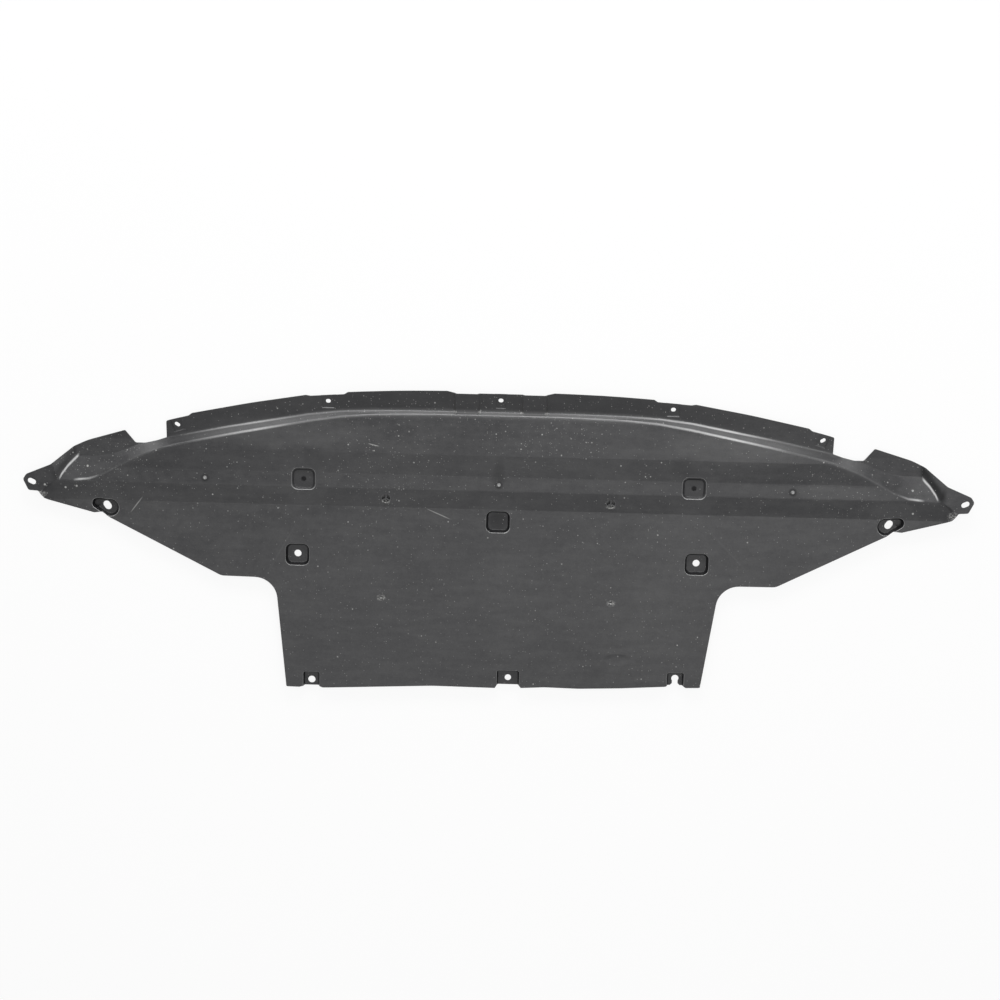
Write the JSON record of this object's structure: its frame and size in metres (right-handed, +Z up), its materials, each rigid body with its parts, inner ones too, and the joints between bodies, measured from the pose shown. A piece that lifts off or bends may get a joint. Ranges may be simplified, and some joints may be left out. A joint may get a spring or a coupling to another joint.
{
  "type": "bumper splash shield",
  "caption": "Wide moulded under-bumper splash shield with a curved front flange, bolt pockets, end lugs and a rear panel with tabs.",
  "frame": {"origin": "bottom centre of the box around the shield, lying road side up", "axes": "+X across the car, +Y towards the front of the car, +Z up, out of the road side"},
  "size_m": [1.6434, 0.5394, 0.025],
  "materials": {
    "moulded_plastic": "fine-grained, slightly glossy black moulded polypropylene"
  },
  "bodies": {
    "root": {"splash_shield": "moulded_plastic"}
  },
  "joints": []
}
